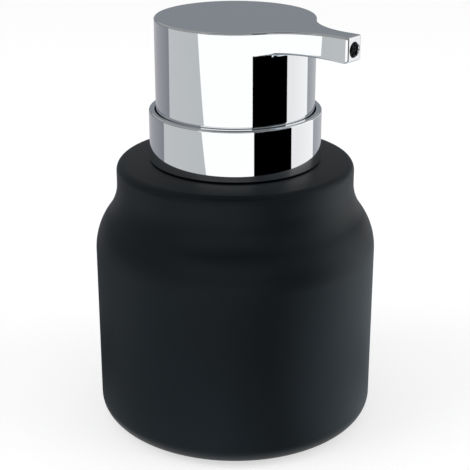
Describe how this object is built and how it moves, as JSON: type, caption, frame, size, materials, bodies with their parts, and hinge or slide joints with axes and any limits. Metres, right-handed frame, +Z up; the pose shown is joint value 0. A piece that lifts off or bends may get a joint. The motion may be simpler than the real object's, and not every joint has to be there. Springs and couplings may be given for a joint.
{
  "type": "liquid soap dispenser",
  "caption": "Free-standing round vessel with a domed top and a chrome press pump: ring collar, sprung swivelling head with a narrow spout, inner pump with valves and dip tube.",
  "frame": {"origin": "centre of the foot, on the surface the dispenser stands on", "axes": "+Z up along the axis of the bottle and the pump, +X towards the spout's end, +Y to the left of the spout seen from behind it"},
  "size_m": [0.09, 0.09, 0.132],
  "materials": {
    "bottle_ceramic": "satin black glaze",
    "chrome_plate": "polished chrome plating",
    "black_plastic": "moulded black polypropylene",
    "white_plastic": "moulded white polypropylene",
    "natural_plastic": "milky natural polyethylene",
    "seal_rubber": "soft dark grey elastomer",
    "foot_foam": "black non-slip foam",
    "spring_steel": "drawn stainless steel"
  },
  "bodies": {
    "bottle": {"bottle": "bottle_ceramic", "base_pad": "foot_foam", "neck_insert": "black_plastic", "insert_seal": "seal_rubber"},
    "pump_core": {"pump_housing": "white_plastic", "housing_gasket": "seal_rubber", "stem_guide": "white_plastic", "stem_seal": "seal_rubber", "ball_cage": "white_plastic", "dip_tube": "natural_plastic", "return_spring": "spring_steel"},
    "closure": {"closure_cap": "black_plastic", "collar": "chrome_plate"},
    "inlet_ball": {"inlet_ball": "spring_steel"},
    "plunger": {"stem": "white_plastic", "valve_pin": "white_plastic"},
    "piston": {"piston": "natural_plastic"},
    "head": {"head_shell": "chrome_plate", "actuator": "black_plastic", "spout_tube": "black_plastic"}
  },
  "joints": [
    {"name": "pump_lift", "type": "slide", "parent": "bottle", "child": "pump_core", "axis": [0, 0, 1], "range_m": [0, 0.095]},
    {"name": "closure_turn", "type": "hinge", "parent": "pump_core", "child": "closure", "pos_m": [0, 0, 0.0955], "axis": [0, 0, 1], "range_deg": [0, 540]},
    {"name": "inlet_ball_lift", "type": "slide", "parent": "pump_core", "child": "inlet_ball", "axis": [0, 0, 1], "range_m": [0, 0.0015]},
    {"name": "head_press", "type": "slide", "parent": "pump_core", "child": "plunger", "axis": [0, 0, -1], "range_m": [0, 0.012], "stiffness_N_per_m": 300, "springref_m": -0.012, "deforming": ["return_spring"]},
    {"name": "piston_lag", "type": "slide", "parent": "plunger", "child": "piston", "axis": [0, 0, 1], "range_m": [0, 0.0012]},
    {"name": "head_swivel", "type": "hinge", "parent": "plunger", "child": "head", "pos_m": [0, 0, 0.119], "axis": [0, 0, 1], "continuous": true}
  ]
}
